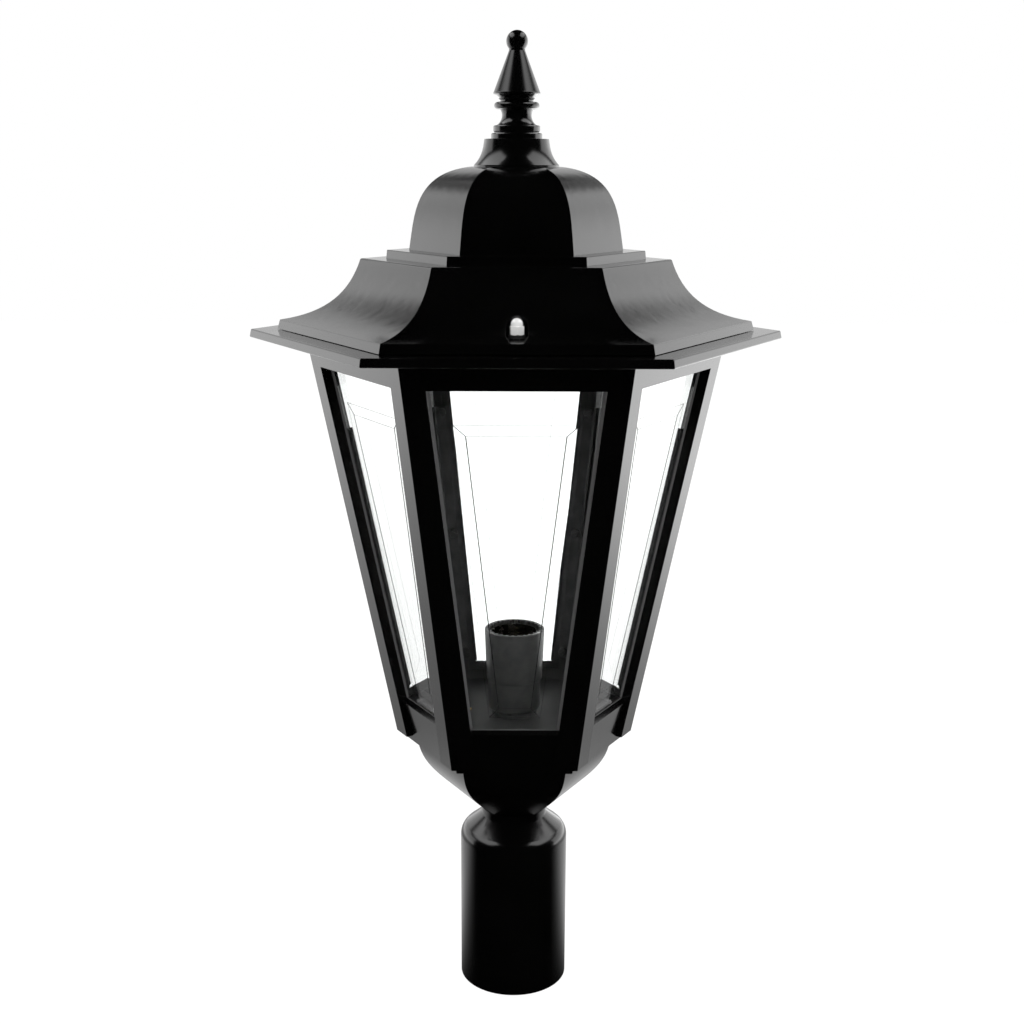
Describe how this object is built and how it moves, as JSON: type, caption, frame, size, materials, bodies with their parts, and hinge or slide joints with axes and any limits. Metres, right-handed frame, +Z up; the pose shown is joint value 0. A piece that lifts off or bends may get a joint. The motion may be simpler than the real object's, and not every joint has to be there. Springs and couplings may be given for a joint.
{
  "type": "post-top street lantern",
  "caption": "Hexagonal tapered post-top lantern: glazed cage, wide eaves, coved roof with dome and finial, round post socket.",
  "frame": {"origin": "bottom centre of the post socket", "axes": "+Z up along the post; the front pane and the front dome nut face -Y; two corners of the hexagon lie on +X and -X"},
  "size_m": [0.3072, 0.2662, 0.5735],
  "materials": {
    "black_coat": "semi-gloss black powder coat on cast aluminium",
    "clear_glass": "clear polished glass with ground bevels",
    "bright_nut": "bright nickel plate",
    "stainless": "bare stainless steel",
    "zinc_steel": "bright zinc plate on steel",
    "clip_steel": "steel strip with a black coat",
    "nickel_plate": "nickel plated brass sheet",
    "brass": "plain machined brass",
    "rubber": "matt black rubber",
    "black_phenolic": "moulded black phenolic",
    "white_ceramic": "glazed ceramic",
    "white_nylon": "moulded nylon"
  },
  "bodies": {
    "lantern": {"post_socket": "black_coat", "grub_screws": "stainless", "stem": "zinc_steel", "stem_nuts": "zinc_steel", "stem_washers": "zinc_steel", "base_bowl": "black_coat", "bowl_screws": "zinc_steel", "cage_frame": "black_coat", "pane_front": "clear_glass", "pane_front_right": "clear_glass", "pane_rear_right": "clear_glass", "pane_rear": "clear_glass", "pane_rear_left": "clear_glass", "pane_front_left": "clear_glass", "glass_clips": "clip_steel", "clip_screws": "clip_steel", "roof_studs": "stainless", "lampholder_body": "black_phenolic", "lampholder_skirt": "black_phenolic", "contact_carrier": "white_ceramic", "screw_shell": "nickel_plate", "centre_contact": "brass", "lampholder_screws": "brass", "lampholder_stem": "zinc_steel", "lampholder_nut": "zinc_steel", "terminal_block": "white_nylon", "terminal_screws": "brass", "terminal_block_screw": "zinc_steel", "earth_screw": "brass", "earth_washer": "brass"},
    "roof": {"roof": "black_coat", "roof_gasket": "rubber", "dome_nuts": "bright_nut", "dome_washers": "rubber", "finial": "black_coat", "finial_stud": "zinc_steel", "finial_nut": "zinc_steel", "finial_washer": "zinc_steel"}
  },
  "joints": [
    {"name": "roof_lift", "type": "slide", "parent": "lantern", "child": "roof", "axis": [0, 0, 1], "range_m": [0, 0.12]}
  ]
}
